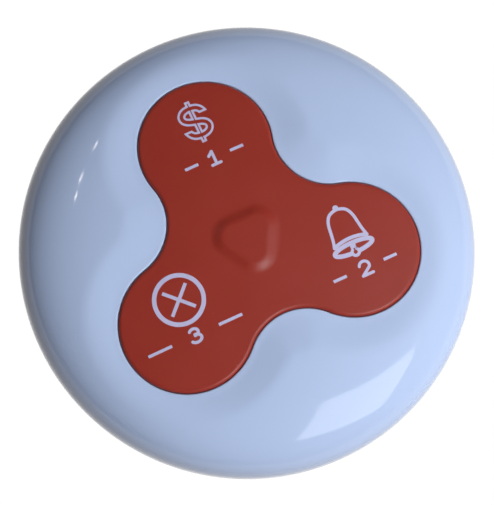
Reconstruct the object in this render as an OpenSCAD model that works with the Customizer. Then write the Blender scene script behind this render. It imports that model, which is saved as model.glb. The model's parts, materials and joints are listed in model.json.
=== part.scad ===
// A round wireless call button for a restaurant table. Three keys share one soft pad, shaped
// like a trilobe, which lies in a dish in the glossy domed cover. Each key bends down at its
// neck and pushes a switch on the circuit board. A coin cell goes in from below, behind a round
// door that turns to lock. The table is z = 0, Z points up, and +Y points to the first key.

/* [Body] */
// Diameter of the body at its widest line
body_d = 78.6; // [78:0.2:90]
// Height of the widest line over the table
equator_z = 9; // [8.5:0.5:11]
// Fullness of the dome's shoulder, where 2 would be an ellipse
dome_power = 3.8; // [3.4:0.1:4.4]
// Rise of the dome's crown over the middle of the key pad
crown_rise = 0.6; // [0.4:0.1:1.6]
// Diameter of the flat underside
underside_d = 71; // [68:1:73]
// Wall of the cover and of the base
wall = 2; // [1.6:0.1:2.3]
// Height of the seam between cover and base
seam_z = 7; // [6:0.5:8]
// Height of the base's lip behind the seam
lip_h = 2.2; // [1.5:0.1:3]
// Thickness of that lip
lip_t = 1; // [0.8:0.1:1.4]

/* [Key pad] */
// Radius of each round lobe of the pad
lobe_r = 11.3; // [10.6:0.1:11.8]
// Distance of each lobe's centre from the middle
lobe_dist = 17.4; // [16.8:0.1:18]
// Radius of the hollow arcs between the lobes
valley_r = 9.6; // [9:0.1:10.2]
// Height of the middle of the pad over the table
pad_z = 22.6; // [22:0.1:24]
// Thickness of the pad in its middle
pad_t = 3; // [2.6:0.1:3.4]
// Radius of the pad's shallow crown
pad_crown_r = 340; // [250:10:500]
// Radius of the pad's upper edge
pad_edge_r = 0.6; // [0.3:0.1:0.8]
// Gap all round between the pad and the cover
pad_gap = 0.3; // [0.25:0.05:0.6]
// Height of the raised nub in the middle of the pad
nub_h = 0.7; // [0.4:0.1:1.4]
// Distance of the nub's sides from the middle
nub_side = 4.1; // [3.6:0.1:4.4]
// Sharpness of the nub's corners: 2 is soft, 4 is a triangle
nub_power = 1.9; // [1.7:0.1:2.6]
// Width of the soft slope round the nub
nub_slope = 2.6; // [1.6:0.1:3]
// Distance of each key's neck from the middle
hinge_dist = 7.2; // [7:0.1:7.6]
// Slit that parts a key from the middle of the pad
slit = 0.3; // [0.2:0.05:0.4]
// Angle by which a pressed key tilts
key_angle = 3; // [2:0.25:3.5]
// Radius of the post under each key
post_r = 1.6; // [1.2:0.1:1.9]

/* [Dish] */
// Width of the dish beyond the tips of the keys, up to its soft outer rim
dish_w = 5.4; // [4.6:0.1:5.8]
// Extra width of the dish in the valleys between the keys
dish_spread = 1.8; // [0:0.1:2.4]
// Width of the flat floor beside the pad
dish_flat = 0.7; // [0.5:0.1:1.8]
// Height of the pad's edge over the floor of the dish
pad_proud = 0.3; // [0.1:0.1:0.6]
// Radius of the opening's upper edge
opening_edge_r = 0.35; // [0.2:0.05:0.5]
// Width of the flat seat under the opening's edge
seat_w = 1.6; // [1.2:0.1:2]

/* [Key frame] */
// Thickness of the frame that carries the pad
frame_t = 1.4; // [1.2:0.1:1.6]
// Height of the ribs under the frame
frame_rib_h = 0.8; // [0.5:0.1:1]
// Radius of the bosses that the frame is screwed to
frame_boss_r = 2.4; // [2.2:0.1:2.8]

/* [Circuit board] */
// Thickness of the board
board_t = 1.6; // [1:0.1:1.8]
// Side of each square switch
switch_w = 6; // [5.6:0.2:7]
// Height of a switch's housing
switch_body_h = 3.4; // [3.2:0.1:3.6]
// Thickness of the steel plate on the switch
switch_plate_t = 0.3; // [0.2:0.05:0.4]
// Height of a switch from the board to the top of its plunger
switch_h = 5; // [4.8:0.1:5.2]
// Radius of the plunger
plunger_r = 1.7; // [1.4:0.1:2]
// Radius of the antenna's wire loop, counted in from the board's edge
antenna_inset = 1.9; // [1.5:0.1:2.5]
// Thickness of the antenna's wire
antenna_wire_d = 0.8; // [0.6:0.1:1]

/* [Battery] */
// Diameter of the coin cell
cell_d = 24.5; // [23:0.1:24.6]
// Height of the coin cell
cell_h = 5; // [4.6:0.1:5.2]
// Height of the contact spring over the cell
contact_h = 1.6; // [1.2:0.1:2]
// Diameter of the battery door
door_d = 33; // [32.6:0.1:36]
// Thickness of the door's disc
door_t = 1.3; // [1.1:0.1:1.5]
// Height of the ring on the door's inner side
door_ring_h = 2; // [1.9:0.1:2.4]
// Angle by which the door turns between locked and free
door_turn = 40; // [36:1:50]
// Angle that each of the door's lugs takes up
lug_angle = 24; // [18:1:30]
// Thickness of the ledge that the lugs hold on to
ledge_t = 1; // [0.8:0.1:1.1]
// Section of the rubber ring that seals the door
seal_d = 0.8; // [0.6:0.1:0.9]

/* [Fasteners and feet] */
// Radius of the bosses for the case screws
boss_r = 2.9; // [2.6:0.1:3.2]
// Radius of a case screw's thread
case_screw_r = 1.1; // [1:0.05:1.25]
// Length of a case screw under its head
case_screw_len = 9; // [8:0.5:12]
// Radius of the small screws' thread
small_screw_r = 0.9; // [0.8:0.05:1]
// Diameter of each rubber foot
foot_d = 9; // [7:0.5:10]
// Height of the feet under the base
foot_h = 0.8; // [0.5:0.1:1.2]
// Depth of the recess that holds a foot
foot_recess = 0.6; // [0.4:0.1:0.8]

/* [Hidden] */

// Angles of the three keys, and of the bosses in the valleys between them
BILL_ANGLE = 90;
CALL_ANGLE = -30;
CANCEL_ANGLE = 210;
KEY_ANGLES = [BILL_ANGLE, CALL_ANGLE, CANCEL_ANGLE];
VALLEY_ANGLES = [30, 150, 270];
// The keys' angles again, in the order of the pad's outline, and half the angle between two
LOBE_ANGLES = [BILL_ANGLE, CANCEL_ANGLE, CALL_ANGLE + 360];
HALF_SECTOR = 180 / len(LOBE_ANGLES);

// Clearances: of a fitted seat, of a sliding fit, of parts that pass, and of a key over its stop
fit_gap = 0.1;
slide_gap = 0.15;
pass_gap = 0.3;
stop_gap = 0.25;
// Thin skin that covers and bosses keep over a blind hole
skin_t = 0.6;
// Radius of the plug that holds the middle of the pad in its frame
plug_r = 2.4;
// Thickness and width of the two battery contacts
contact_t = 0.3;
contact_w = 5;
// Length and width of the chip capacitors and resistors
smd = [2, 1.25];
// A cut reaches this far past a face
cut = 1;
// Steps along each lobe, along each valley and round the nub
lobe_steps = 20;
valley_steps = 12;
nub_steps = 36;

body_r = body_d / 2;
underside_r = underside_d / 2;
underside_z = foot_h;
floor_z = underside_z + wall;
crown_z = pad_z + crown_rise;

// The trilobe: lobe arcs that meet hollow arcs, whose centres lie valley_dist from the middle
valley_dist = (lobe_dist + sqrt(4 * pow(lobe_r + valley_r, 2) - 3 * pow(lobe_dist, 2))) / 2;
tangent_angle = atan2(valley_dist * sin(HALF_SECTOR), valley_dist * cos(HALF_SECTOR) - lobe_dist);
waist = valley_dist - valley_r;
tip = lobe_dist + lobe_r;

// Heights of the pad, its frame and the cover's seat, from the pad down
pad_under_z = pad_z - pad_t;
hinge_z = pad_z - pad_t / 2;
key_drop = (tip - hinge_dist) * sin(key_angle);
frame_top_z = pad_under_z - key_drop - stop_gap;
frame_z = frame_top_z - frame_t;
ear_dist = waist + pad_gap + 2 * seat_w + frame_boss_r;

// Heights of the battery and the board, from the base up
door_top_z = underside_z + door_t;
ledge_z = door_top_z + fit_gap;
ledge_top_z = ledge_z + ledge_t;
door_ring_top_z = door_top_z + door_ring_h;
cell_r = cell_d / 2;
cell_z = door_top_z + pass_gap;
cell_top_z = cell_z + cell_h;
board_z = cell_top_z + contact_h;
board_top_z = board_z + board_t;
plunger_top_z = board_top_z + switch_h;
post_tip_z = plunger_top_z + fit_gap;

// Radii of the battery bay, from the cell outwards
door_r = door_d / 2;
ring_t = 1.2;
door_ring_in_r = cell_r + slide_gap;
door_ring_r = door_ring_in_r + ring_t;
ledge_r = door_ring_r + slide_gap;
lug_r = ledge_r + 1.1;
bay_r = lug_r + pass_gap;
bay_wall_t = 1.4;
seal_r = (ledge_r + door_r) / 2;
rib_t = 1.2;

// Places of the bosses, the board and the feet, from the body inwards
boss_dist = body_r - 9.8;
board_r = boss_dist - boss_r - 0.8;
board_screw_dist = board_r - 4;
foot_dist = boss_dist - 3;
antenna_r = board_r - antenna_inset;

// Screws: head radius, head height, and the pilot hole in per cent of the thread
case_head_r = 2 * case_screw_r;
case_head_h = 1.4;
case_seat_z = underside_z + case_head_h + 1;
small_head_r = 2 * small_screw_r;
small_head_h = 1.1;
pilot = 0.85;
board_screw_len = board_t + 4;
sleeve_r = boss_r + 0.3;
post_wall_r = 2.2;

function polar(r, a) = [r * cos(a), r * sin(a)];
function raise(points, z) = [for (p = points) [p.x, p.y, z]];
function mix(a, b, share) = [for (i = [0 : len(a) - 1]) a[i] * (1 - share) + b[i] * share];
function smooth(x) = let (u = min(1, max(0, x))) u * u * (3 - 2 * u);

// Points of the pad's outline, moved outwards by off
function trilobe(off) = [for (a = LOBE_ANGLES) each concat(
  [for (i = [0 : lobe_steps - 1])
    polar(lobe_dist, a) + polar(lobe_r + off, a - tangent_angle + 2 * tangent_angle * i / lobe_steps)],
  [for (i = [0 : valley_steps - 1]) let (v = tangent_angle - HALF_SECTOR, b = a + HALF_SECTOR)
    polar(valley_dist, b) + polar(valley_r - off, b + 180 + v - 2 * v * i / valley_steps)])];

// Heights of the pad's crowned top, of the dish floor and of the plain dome, at radius r
function pad_top(r) = pad_z - r * r / (2 * pad_crown_r);
function dish_floor(r) = pad_top(r) - pad_proud;
function dome(r, in = 0) = equator_z + (crown_z - equator_z - in)
  * pow(max(0, 1 - pow(r / (body_r - in), dome_power)), 1 / dome_power);
function on_dome(points, in = 0) = [for (p = points) [p.x, p.y, dome(norm(p), in)]];
// Height of the cover at radius r, t outside the pad's outline, where the dish is w wide
function cover_top(r, t, w, in = 0) = let (rise = min(1, max(0, (t - dish_flat) / (w - dish_flat))))
  rise * dome(r, in) + (1 - rise) * (dish_floor(r) - in);
// Width of the dish at a point of the pad's outline
function dish_width(p) = dish_w
  + dish_spread * pow((1 - cos(3 * (atan2(p.y, p.x) - LOBE_ANGLES[0]))) / 2, 2);
// Points of the cover, share of the way from start outside the pad's outline to the dish's rim
function dish_ring(start, share, in = 0) = let (line = trilobe(0), off = trilobe(1))
  [for (i = [0 : len(line) - 1])
    let (w = dish_width(line[i]), t = start + share * (w - start), p = line[i] + t * (off[i] - line[i]))
    [p.x, p.y, cover_top(norm(p), t, w, in)]];
dish_rim = [for (p = dish_ring(0, 1)) [p.x, p.y]];
// Height of the cover over the inner side of the frame's bosses
ear_cover_z = cover_top(ear_dist - frame_boss_r, ear_dist - frame_boss_r - waist, dish_w + dish_spread);
function on_pad(points, down = 0) = [for (p = points) [p.x, p.y, pad_top(norm(p)) - down]];
// Radius of the body's outside under its widest line, and a point on the dome's shoulder
function belly_r(z) = underside_r + (body_r - underside_r)
  * sqrt(1 - pow((equator_z - z) / (equator_z - underside_z), 2));
function shoulder(a, in = 0) = [
  (body_r - in) * pow(sin(a), 2 / dome_power),
  equator_z + (crown_z - equator_z - in) * pow(cos(a), 2 / dome_power)];
// A circle of radius r, with its points beside those of the dish's rim
function ring(r) = [for (p = dish_rim) r * p / norm(p)];

// A closed skin through rings of points; loop joins the last ring to the first
module skin(rings, loop = false) {
  n = len(rings[0]);
  m = len(rings);
  bands = [for (j = [0 : loop ? m - 1 : m - 2]) for (i = [0 : n - 1])
    let (a = j * n + i, b = j * n + (i + 1) % n, k = (j + 1) % m, c = k * n + (i + 1) % n, d = k * n + i)
    each [[a, d, c], [a, c, b]]];
  ends = loop ? [] : [mean(rings[0]), mean(rings[m - 1])];
  caps = loop ? [] : [for (i = [0 : n - 1]) each [
    [m * n, i, (i + 1) % n], [m * n + 1, (m - 1) * n + (i + 1) % n, (m - 1) * n + i]]];
  polyhedron(concat([for (r = rings) each r], ends), concat(bands, caps), convexity = 8);
}
function mean(points) = [for (k = [0 : 2]) sum([for (p = points) p[k]]) / len(points)];
function sum(list) = list * [for (v = list) 1];

module at_angles(angles, dist) {
  for (a = angles) rotate(a) translate([dist, 0, 0]) children();
}

// A pan-head screw with a cross recess; its head hangs below z = 0 and its thread points up
module screw(r, len, head_r, head_h) {
  slot_w = 0.28 * head_r;
  edge = head_h / 3;
  difference() {
    union() {
      cylinder(r = r, h = len - r, $fn = 32);
      translate([0, 0, len - r]) cylinder(r1 = r, r2 = r / 4, h = r, $fn = 32);
      rotate_extrude($fn = 48)
        polygon([[0, 0], [head_r, 0], [head_r, edge - head_h], [head_r - edge, -head_h], [0, -head_h]]);
    }
    for (a = [0, 90]) rotate(a)
      translate([-0.6 * head_r, -slot_w / 2, -head_h - cut]) cube([1.2 * head_r, slot_w, cut + head_h / 2]);
  }
}

// ---- Shells ----

cover_rings = let (
    edge_t = pad_gap + opening_edge_r,
    edge = dish_ring(edge_t, 0),
    in_edge = pad_gap + seat_w,
    collar = trilobe(pad_gap),
    crest = 60)
  concat(
    [for (z = [seam_z, (seam_z + equator_z) / 2]) raise(ring(belly_r(z)), z)],
    [for (a = [90 : -6 : crest]) let (s = shoulder(a)) raise(ring(s[0]), s[1])],
    [for (s = [0.15, 0.35, 0.6]) on_dome(mix(ring(shoulder(crest)[0]), dish_rim, s))],
    [for (s = [1, 0.86, 0.7, 0.5, 0.25, 0]) dish_ring(edge_t, s)],
    [for (a = [45, 90]) let (rim = trilobe(edge_t - opening_edge_r * sin(a)))
      [for (i = [0 : len(rim) - 1]) [rim[i].x, rim[i].y, edge[i].z - opening_edge_r * (1 - cos(a))]]],
    [raise(collar, frame_top_z)],
    [raise(trilobe(in_edge), frame_top_z)],
    [for (s = [0, 0.5, 1]) dish_ring(in_edge, s, wall)],
    [for (s = [0.4, 0.75]) on_dome(mix(dish_rim, ring(shoulder(crest, wall)[0]), s), wall)],
    [for (a = [crest, 68, 76, 90]) let (s = shoulder(a, wall)) raise(ring(s[0]), s[1])],
    [raise(ring(belly_r(seam_z) - wall), seam_z)]);

module top_cover() {
  boss_top_z = dome(boss_dist + boss_r) - skin_t;
  frame_boss_top_z = ear_cover_z - skin_t;
  color("white")
  difference() {
    union() {
      skin(cover_rings, loop = true);
      at_angles(VALLEY_ANGLES, boss_dist)
        translate([0, 0, seam_z]) rotate(90) cylinder(r = boss_r, h = boss_top_z - seam_z, $fn = 48);
      at_angles(VALLEY_ANGLES, ear_dist)
        translate([0, 0, frame_top_z])
          cylinder(r = frame_boss_r, h = frame_boss_top_z - frame_top_z, $fn = 48);
    }
    at_angles(VALLEY_ANGLES, boss_dist)
      translate([0, 0, seam_z - cut])
        cylinder(r = pilot * case_screw_r, h = cut + case_screw_len, $fn = 32);
    at_angles(VALLEY_ANGLES, ear_dist)
      translate([0, 0, frame_top_z - cut])
        cylinder(r = pilot * small_screw_r, h = cut + frame_boss_top_z - frame_top_z - skin_t, $fn = 32);
  }
}

module base_profile() {
  seam_in_r = belly_r(seam_z) - wall;
  lip_r = seam_in_r - slide_gap;
  steps = 10;
  polygon(concat(
    [[0, underside_z]],
    [for (i = [0 : steps]) let (z = underside_z + (seam_z - underside_z) * pow(i / steps, 1.6))
      [belly_r(z), z]],
    [[lip_r, seam_z], [lip_r, seam_z + lip_h], [lip_r - lip_t, seam_z + lip_h],
      [lip_r - lip_t, seam_z - lip_t], [underside_r - wall, floor_z + wall / 2],
      [underside_r - 1.5 * wall, floor_z], [0, floor_z]]));
}

module base_shell() {
  hole_r = case_screw_r + slide_gap;
  notch_angle = lug_angle + 6;
  bay_top_z = board_z - skin_t;
  color("gainsboro")
  difference() {
    union() {
      rotate_extrude($fn = 128) base_profile();
      translate([0, 0, underside_z])
        cylinder(r = bay_r + bay_wall_t, h = ledge_top_z - underside_z, $fn = 96);
      at_angles(VALLEY_ANGLES, boss_dist)
        translate([0, 0, underside_z]) cylinder(r = sleeve_r, h = seam_z - underside_z, $fn = 48);
      at_angles(VALLEY_ANGLES, board_screw_dist)
        translate([0, 0, floor_z - skin_t])
          cylinder(r = post_wall_r, h = board_z - floor_z + skin_t, $fn = 48);
      bay_wall(bay_top_z);
    }
    translate([0, 0, underside_z - cut])
      cylinder(r = door_r + slide_gap, h = cut + ledge_z - underside_z, $fn = 96);
    translate([0, 0, underside_z - cut]) cylinder(r = ledge_r, h = cut + ledge_top_z, $fn = 96);
    for (a = [0, 120, 240]) rotate(a - door_turn - notch_angle / 2)
      translate([0, 0, underside_z]) rotate_extrude(angle = notch_angle, $fn = 96)
        square([lug_r + slide_gap, ledge_top_z - underside_z + fit_gap]);
    at_angles(VALLEY_ANGLES, boss_dist) {
      translate([0, 0, underside_z - cut]) cylinder(r = hole_r, h = seam_z + 2 * cut, $fn = 32);
      translate([0, 0, underside_z - cut])
        cylinder(r = case_head_r + slide_gap, h = cut + case_seat_z - underside_z, $fn = 48);
    }
    at_angles(VALLEY_ANGLES, board_screw_dist)
      translate([0, 0, floor_z + skin_t])
        cylinder(r = pilot * small_screw_r, h = board_z - floor_z, $fn = 32);
    at_angles(KEY_ANGLES, foot_dist)
      translate([0, 0, underside_z - cut])
        cylinder(r = foot_d / 2 + fit_gap, h = cut + foot_recess, $fn = 48);
  }
}

// The round wall of the battery bay, with ribs that centre the cell above the door's lugs
module bay_wall(top_z) {
  rib_z = door_ring_top_z + pass_gap;
  difference() {
    translate([0, 0, ledge_top_z - fit_gap])
      cylinder(r = bay_r + bay_wall_t, h = top_z - ledge_top_z + fit_gap, $fn = 96);
    translate([0, 0, ledge_top_z - cut]) cylinder(r = bay_r, h = top_z, $fn = 96);
  }
  for (a = [45, 135, 225, 315]) rotate(a)
    translate([cell_r + slide_gap, -rib_t / 2, rib_z])
      cube([bay_r + bay_wall_t / 2 - cell_r - slide_gap, rib_t, top_z - rib_z]);
}

module battery_door() {
  coin_slot = [16, 2.2, 0.7];
  lug_z = ledge_top_z + fit_gap;
  lug_in_r = door_ring_r - ring_t / 2;
  color("gainsboro")
  difference() {
    union() {
      translate([0, 0, underside_z]) cylinder(r = door_r, h = door_t, $fn = 96);
      translate([0, 0, underside_z]) cylinder(r = door_ring_r, h = door_t + door_ring_h, $fn = 96);
      for (a = [0, 120, 240]) rotate(a - lug_angle / 2)
        translate([0, 0, lug_z]) rotate_extrude(angle = lug_angle, $fn = 96)
          translate([lug_in_r, 0]) square([lug_r - lug_in_r, door_ring_top_z - lug_z]);
    }
    translate([0, 0, door_top_z]) cylinder(r = door_ring_in_r, h = door_ring_h + cut, $fn = 96);
    translate([0, 0, door_top_z + fit_gap / 2 - seal_d]) rotate_extrude($fn = 96)
      translate([seal_r - seal_d / 2 - fit_gap, 0]) square([seal_d + 2 * fit_gap, seal_d]);
    translate([-coin_slot.x / 2, -coin_slot.y / 2, underside_z - cut])
      cube([coin_slot.x, coin_slot.y, coin_slot.z + cut]);
  }
}

module door_seal() {
  color("dimgray")
  translate([0, 0, door_top_z + fit_gap / 2 - seal_d / 2])
    rotate_extrude($fn = 96) translate([seal_r, 0]) circle(r = seal_d / 2, $fn = 24);
}

module rubber_feet() {
  bevel = 0.3;
  h = foot_h + foot_recess;
  color("dimgray")
  at_angles(KEY_ANGLES, foot_dist)
    rotate_extrude($fn = 48)
      polygon([[0, 0], [foot_d / 2 - bevel, 0], [foot_d / 2, bevel], [foot_d / 2, h], [0, h]]);
}

module case_screws() {
  color("silver")
  at_angles(VALLEY_ANGLES, boss_dist)
    translate([0, 0, case_seat_z]) screw(case_screw_r, case_screw_len, case_head_r, case_head_h);
}

// ---- Keys ----

module pad_skin() {
  inner = trilobe(-pad_edge_r);
  skin(concat(
    [raise(trilobe(0), pad_under_z)],
    [for (a = [90, 45]) on_pad(trilobe(pad_edge_r * (sin(a) - 1)), pad_edge_r * (1 - cos(a)))],
    [for (s = [1, 0.75, 0.5, 0.25]) on_pad(s * inner)]));
}

// Everything on the outer side of a key's neck, from a distance dist
module neck_side(a, dist) {
  rotate(a) translate([dist, -body_r, 0]) cube([body_r, body_d, crown_z + cut]);
}

module key(a) {
  tip_r = post_r / 2;
  color("firebrick") {
    intersection() {
      pad_skin();
      neck_side(a, hinge_dist + slit / 2);
    }
    rotate(a) translate([lobe_dist, 0, post_tip_z]) rotate_extrude($fn = 32)
      polygon([[0, 0], [tip_r, 0], [post_r, tip_r / 2], [post_r, pad_under_z - post_tip_z + skin_t],
        [0, pad_under_z - post_tip_z + skin_t]]);
  }
}

// Points of the nub's rounded triangle, whose corners point at the valleys, moved out by off
function nub_outline(off) = [for (i = [0 : nub_steps - 1]) let (
    a = 360 * i / nub_steps,
    sides = sum([for (side = KEY_ANGLES) pow(max(0, cos(a - side)), nub_power)]))
  polar(nub_side / pow(sides, 1 / nub_power) + off, a)];

module pad_hub() {
  stem_r = plug_r + 1;
  plug_top_z = frame_z - 0.2;
  head_h = 1.6;
  nub_foot_z = pad_top(nub_side + nub_slope);
  nub_top_z = pad_z + nub_h;
  color("firebrick") {
    difference() {
      pad_skin();
      for (a = KEY_ANGLES) neck_side(a, hinge_dist - slit / 2);
    }
    skin(concat(
      [raise(nub_outline(nub_slope / 2), pad_z - skin_t)],
      [for (u = [0, 0.25, 0.5, 0.75, 1])
        raise(nub_outline(nub_slope * (0.5 - u)), nub_foot_z + (nub_top_z - nub_foot_z) * smooth(u))]));
    rotate_extrude($fn = 48)
      polygon([[0, pad_under_z + skin_t], [stem_r, pad_under_z + skin_t], [stem_r, frame_top_z],
        [plug_r, frame_top_z], [plug_r, frame_z], [plug_r + 0.5, frame_z],
        [plug_r / 2, frame_z - head_h], [0, frame_z - head_h]]);
  }
}

// The pad's outline as true arcs, moved outwards by off
module trilobe_2d(off) {
  difference() {
    union() {
      for (a = KEY_ANGLES) translate(polar(lobe_dist, a)) circle(r = lobe_r + off, $fn = 96);
      polygon([for (a = LOBE_ANGLES) each
        [polar(lobe_dist, a), polar(valley_dist, a + HALF_SECTOR)]]);
    }
    for (a = VALLEY_ANGLES) translate(polar(valley_dist, a)) circle(r = valley_r - off, $fn = 96);
  }
}

module key_frame() {
  plug_hole_r = plug_r + fit_gap;
  sway = (hinge_z - frame_z) * sin(key_angle);
  post_hole_r = post_r + sway + pass_gap;
  ear_r = frame_boss_r + 0.4;
  color("gray")
  difference() {
    union() {
      translate([0, 0, frame_z]) linear_extrude(frame_t) {
        trilobe_2d(pad_gap + seat_w);
        at_angles(VALLEY_ANGLES, ear_dist) circle(r = ear_r, $fn = 48);
        at_angles(VALLEY_ANGLES, 0) translate([waist, -ear_r]) square([ear_dist - waist, 2 * ear_r]);
      }
      for (a = KEY_ANGLES) rotate(a) {
        translate([lobe_dist, 0, frame_z - frame_rib_h])
          cylinder(r = post_hole_r + rib_t, h = frame_rib_h + frame_t / 2, $fn = 48);
        for (side = [-1, 1])
          translate([plug_hole_r + 2 * rib_t, side * 5 - rib_t / 2, frame_z - frame_rib_h])
            cube([lobe_dist + lobe_r / 2 - plug_hole_r - 2 * rib_t, rib_t, frame_rib_h + frame_t / 2]);
      }
    }
    translate([0, 0, frame_z - cut]) cylinder(r = plug_hole_r, h = frame_t + 2 * cut, $fn = 48);
    at_angles(KEY_ANGLES, lobe_dist)
      translate([0, 0, frame_z - frame_rib_h - cut])
        cylinder(r = post_hole_r, h = frame_t + frame_rib_h + 2 * cut, $fn = 48);
    at_angles(VALLEY_ANGLES, ear_dist)
      translate([0, 0, frame_z - cut])
        cylinder(r = small_screw_r + fit_gap, h = frame_t + 2 * cut, $fn = 32);
  }
}

module frame_screws() {
  len = ear_cover_z - 2 * skin_t - frame_z - fit_gap;
  color("silver")
  at_angles(VALLEY_ANGLES, ear_dist)
    translate([0, 0, frame_z]) screw(small_screw_r, len, small_head_r, small_head_h);
}

// ---- Circuit board ----

module circuit_board() {
  color("darkgreen")
  difference() {
    translate([0, 0, board_z]) cylinder(r = board_r, h = board_t, $fn = 128);
    at_angles(VALLEY_ANGLES, board_screw_dist)
      translate([0, 0, board_z - cut])
        cylinder(r = small_screw_r + fit_gap, h = board_t + 2 * cut, $fn = 32);
  }
}

module board_screws() {
  color("silver")
  at_angles(VALLEY_ANGLES, board_screw_dist)
    translate([0, 0, board_top_z]) mirror([0, 0, 1])
      screw(small_screw_r, board_screw_len, small_head_r, small_head_h);
}

// A square switch housing with four leads, open at the top for the plunger
module switch_body(a) {
  lead = [0.7, 1.2, 0.2];
  cavity_r = plunger_r + 0.9;
  rotate(a) translate([lobe_dist, 0, board_top_z]) {
    color("black")
    difference() {
      translate([-switch_w / 2, -switch_w / 2, 0]) cube([switch_w, switch_w, switch_body_h]);
      translate([0, 0, 1]) cylinder(r = cavity_r, h = switch_body_h, $fn = 48);
    }
    color("silver")
    for (x = [-1, 1]) for (side = [0, 1]) mirror([0, side, 0])
      translate([x * switch_w / 3 - lead.x / 2, switch_w / 2 - fit_gap, 0]) cube(lead);
  }
}

module switch_plates() {
  color("silver")
  for (a = KEY_ANGLES) rotate(a) translate([lobe_dist, 0, board_top_z + switch_body_h])
    difference() {
      translate([-switch_w / 2, -switch_w / 2, 0]) cube([switch_w, switch_w, switch_plate_t]);
      translate([0, 0, -cut]) cylinder(r = plunger_r + slide_gap, h = switch_plate_t + 2 * cut, $fn = 48);
    }
}

module plunger(a) {
  flange_r = plunger_r + 0.6;
  flange_h = 0.7;
  flange_z = board_top_z + switch_body_h - flange_h - fit_gap;
  color("black")
  rotate(a) translate([lobe_dist, 0, 0]) {
    translate([0, 0, flange_z]) cylinder(r = flange_r, h = flange_h, $fn = 48);
    translate([0, 0, flange_z]) cylinder(r = plunger_r, h = plunger_top_z - flange_z, $fn = 48);
  }
}

// ---- Battery ----

module coin_cell() {
  step = 0.6;
  color("silver") {
    translate([0, 0, cell_z]) cylinder(r = cell_r, h = cell_h - step, $fn = 96);
    translate([0, 0, cell_z]) cylinder(r = cell_r - 1.2, h = cell_h, $fn = 96);
  }
}

// A leaf that hangs from the board and presses on the middle of the cell
module cell_minus_contact() {
  color("gold")
  translate([0, contact_w / 2, 0]) rotate([90, 0, 0]) linear_extrude(contact_w)
    polygon([[-6, board_z], [-6, board_z - contact_t], [-1, board_z - contact_t], [4, cell_top_z],
      [6, cell_top_z], [7, cell_top_z + contact_t], [7, cell_top_z + 2 * contact_t],
      [5.8, cell_top_z + contact_t], [4.2, cell_top_z + contact_t], [-0.8, board_z]]);
}

// A leaf that stands down from the board beside the cell's rim
module cell_plus_contact() {
  foot_len = 3;
  leaf_z = door_ring_top_z + 2 * pass_gap;
  color("gold")
  translate([0, contact_w / 2, 0]) rotate([90, 0, 0]) linear_extrude(contact_w)
    polygon([[-cell_r, leaf_z], [-cell_r, board_z], [-cell_r - foot_len, board_z],
      [-cell_r - foot_len, board_z - contact_t], [-cell_r - contact_t, board_z - contact_t],
      [-cell_r - contact_t, leaf_z]]);
}

// ---- Components on the board ----

// A moulded chip, w by d by h, with leads along both long sides
module chip(w, d, h, leads, pitch) {
  lead = [0.4, 1, 0.15];
  color("black") translate([-w / 2, -d / 2, 0.1]) cube([w, d, h]);
  color("silver")
  for (side = [-1, 1]) for (i = [0 : leads - 1])
    translate([(i - (leads - 1) / 2) * pitch - lead.x / 2, side * d / 2 - lead.y / 2, 0])
      cube([lead.x, lead.y, lead.z]);
}

module encoder_chip() {
  translate([-5, 1.5, board_top_z]) chip(5, 3.9, 1.5, 4, 1.27);
}

module saw_resonator() {
  can_r = 4.2;
  can_h = 3;
  color("silver") translate([6.2, 0, board_top_z]) {
    cylinder(r = can_r, h = 0.5, $fn = 64);
    cylinder(r = can_r - 0.5, h = can_h, $fn = 64);
  }
}

module rf_transistor() {
  translate([6, -8, board_top_z]) chip(2.9, 1.3, 1, 2, 1.9);
}

module capacitors() {
  chip_size = [smd.x, smd.y, 0.9];
  color("tan")
  for (p = [[-4, -4.5], [-0.5, -6], [2, 7.5], [10.2, -6.5]])
    translate([p.x - chip_size.x / 2, p.y - chip_size.y / 2, board_top_z]) cube(chip_size);
  color("silver") translate([-6, -9.5, board_top_z]) {
    translate([-2.6, -2.6, 0]) cube([5.2, 5.2, 0.8]);
    cylinder(r = 2.5, h = 5, $fn = 48);
  }
}

module resistors() {
  chip_size = [smd.x, smd.y, 0.5];
  color("black")
  for (p = [[-10.5, 5.5], [-10.5, 7.5], [-4, 7.5], [6, 7.5], [1.5, -10], [1.5, -12]])
    translate([p.x - chip_size.x / 2, p.y - chip_size.y / 2, board_top_z]) cube(chip_size);
}

// An open loop of wire above the board's edge, on two legs
module loop_antenna() {
  start = 45;
  sweep = 330;
  wire_r = antenna_wire_d / 2;
  loop_z = board_top_z + small_head_h + 0.6 + wire_r;
  leg_r = wire_r + fit_gap;
  color("orange") {
    translate([0, 0, loop_z]) rotate(start)
      rotate_extrude(angle = sweep, $fn = 128) translate([antenna_r, 0]) circle(r = wire_r, $fn = 24);
    for (a = [start, start + sweep]) rotate(a) translate([antenna_r, 0, board_top_z])
      cylinder(r = leg_r, h = loop_z + leg_r - board_top_z, $fn = 24);
  }
}

top_cover();
base_shell();
battery_door();
door_seal();
rubber_feet();
case_screws();
pad_hub();
key(BILL_ANGLE);  // bill_key
key(CALL_ANGLE);  // call_key
key(CANCEL_ANGLE);  // cancel_key
key_frame();
frame_screws();
circuit_board();
board_screws();
switch_body(BILL_ANGLE);  // bill_switch
switch_body(CALL_ANGLE);  // call_switch
switch_body(CANCEL_ANGLE);  // cancel_switch
plunger(BILL_ANGLE);  // bill_plunger
plunger(CALL_ANGLE);  // call_plunger
plunger(CANCEL_ANGLE);  // cancel_plunger
switch_plates();
coin_cell();
cell_plus_contact();
cell_minus_contact();
encoder_chip();
saw_resonator();
rf_transistor();
capacitors();
resistors();
loop_antenna();
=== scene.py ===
import json
import math

import bmesh
import bpy
import numpy as np
from mathutils import Matrix, Vector
from mathutils.geometry import delaunay_2d_cdt


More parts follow.
